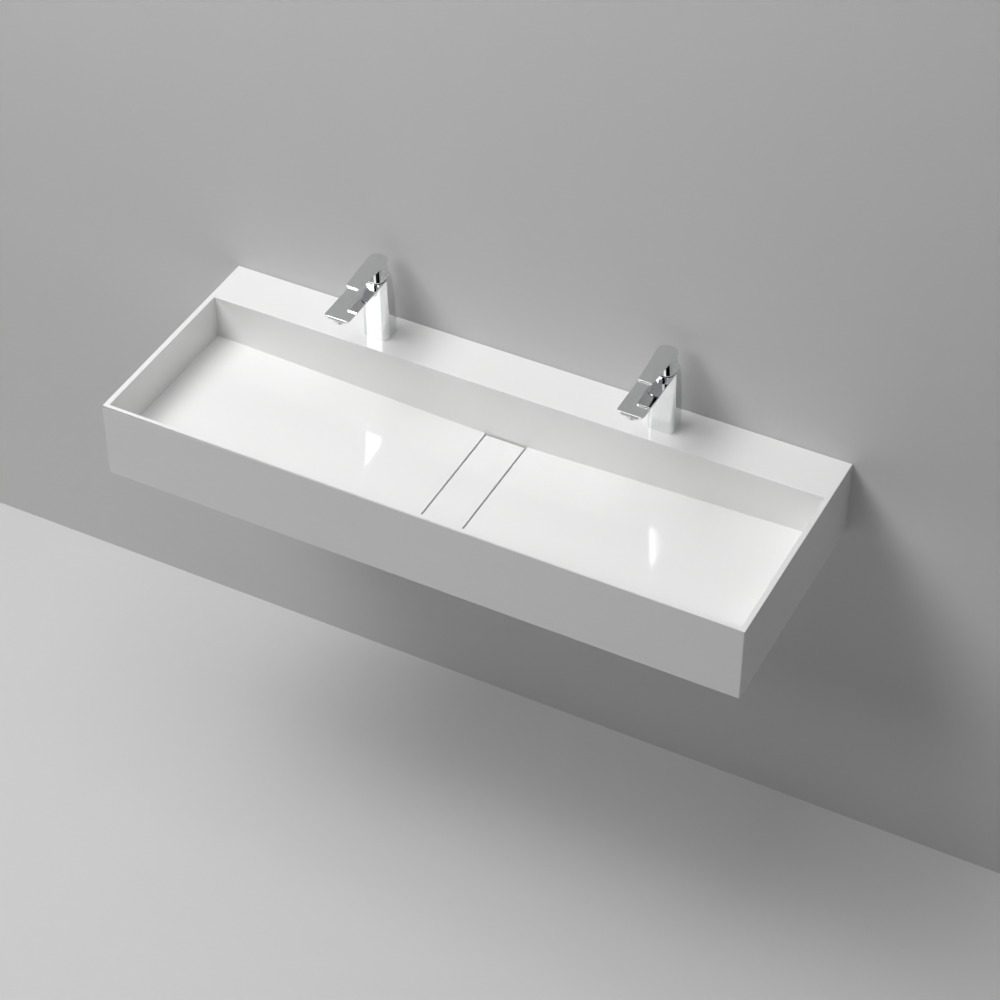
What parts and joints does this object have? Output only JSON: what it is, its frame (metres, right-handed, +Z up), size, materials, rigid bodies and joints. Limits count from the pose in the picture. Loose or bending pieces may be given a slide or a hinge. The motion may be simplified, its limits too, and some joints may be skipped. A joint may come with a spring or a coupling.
{
  "type": "trough sink",
  "caption": "Wall-hung rectangular trough sink with sloping bowl floors, a drain channel under a loose cover, and single-lever mixer taps on its rear ledge.",
  "frame": {"origin": "middle of the four wall bolt holes, on the wall plane", "axes": "+X along the wall to the right as seen from the room, +Y into the wall, +Z up; the front faces -Y"},
  "size_m": [1.2, 0.45, 0.3535],
  "materials": {
    "solid_surface": "gloss",
    "solid_surface_cover": "gloss",
    "chrome": "polished",
    "steel": "satin",
    "painted_steel": "satin",
    "brass": "machined",
    "rubber": "matt",
    "white_plastic": "moulded",
    "ceramic": "lapped"
  },
  "bodies": {
    "trough": {"basin": "solid_surface", "waste_flange": "steel", "waste_flange_seal": "rubber", "waste_screw": "steel", "waste_gasket": "rubber", "waste_tailpiece": "chrome", "left_bracket": "painted_steel", "right_bracket": "painted_steel", "bracket_pads": "rubber", "bracket_screws": "steel", "bracket_washers": "steel", "threaded_inserts": "brass", "left_tap_body": "chrome", "left_base_seal": "rubber", "left_aerator_housing": "chrome", "left_aerator_insert": "white_plastic", "left_cartridge_base": "white_plastic", "left_cartridge_housing": "white_plastic", "left_cartridge_seals": "rubber", "left_fixed_disc": "ceramic", "left_cartridge_nut": "brass", "left_stud": "steel", "left_clamp_seal": "rubber", "left_clamp_plate": "steel", "left_stud_nut": "brass", "right_tap_body": "chrome", "right_base_seal": "rubber", "right_aerator_housing": "chrome", "right_aerator_insert": "white_plastic", "right_cartridge_base": "white_plastic", "right_cartridge_housing": "white_plastic", "right_cartridge_seals": "rubber", "right_fixed_disc": "ceramic", "right_cartridge_nut": "brass", "right_stud": "steel", "right_clamp_seal": "rubber", "right_clamp_plate": "steel", "right_stud_nut": "brass"},
    "drain_cover": {"drain_cover": "solid_surface_cover"},
    "left_tap_swivel": {"left_spindle_carrier": "white_plastic", "left_pivot_pin": "steel"},
    "left_tap_lever": {"left_spindle": "steel", "left_lever": "chrome", "left_grub_screw": "steel", "left_screw_plug": "chrome"},
    "left_tap_disc": {"left_moving_disc": "ceramic"},
    "right_tap_swivel": {"right_spindle_carrier": "white_plastic", "right_pivot_pin": "steel"},
    "right_tap_lever": {"right_spindle": "steel", "right_lever": "chrome", "right_grub_screw": "steel", "right_screw_plug": "chrome"},
    "right_tap_disc": {"right_moving_disc": "ceramic"}
  },
  "joints": [
    {"name": "drain_cover_lift", "type": "slide", "parent": "trough", "child": "drain_cover", "axis": [0, 0, 1], "range_m": [0, 0.13]},
    {"name": "left_tap_swivel", "type": "hinge", "parent": "trough", "child": "left_tap_swivel", "pos_m": [-0.276, -0.057, 0.193], "axis": [0, 0, 1], "range_deg": [-45, 45]},
    {"name": "left_tap_lift", "type": "hinge", "parent": "left_tap_swivel", "child": "left_tap_lever", "pos_m": [-0.276, -0.057, 0.193], "axis": [-1, 0, 0], "range_deg": [0, 18]},
    {"name": "left_disc_slide", "type": "slide", "parent": "left_tap_swivel", "child": "left_tap_disc", "axis": [0, -1, 0], "range_m": [0, 0.0026]},
    {"name": "right_tap_swivel", "type": "hinge", "parent": "trough", "child": "right_tap_swivel", "pos_m": [0.276, -0.057, 0.193], "axis": [0, 0, 1], "range_deg": [-45, 45]},
    {"name": "right_tap_lift", "type": "hinge", "parent": "right_tap_swivel", "child": "right_tap_lever", "pos_m": [0.276, -0.057, 0.193], "axis": [-1, 0, 0], "range_deg": [0, 18]},
    {"name": "right_disc_slide", "type": "slide", "parent": "right_tap_swivel", "child": "right_tap_disc", "axis": [0, -1, 0], "range_m": [0, 0.0026]}
  ],
  "couplings": [
    {"joint": "left_disc_slide", "follows": "left_tap_lift", "m_per_rad": 0.0077},
    {"joint": "right_disc_slide", "follows": "right_tap_lift", "m_per_rad": 0.0077}
  ]
}
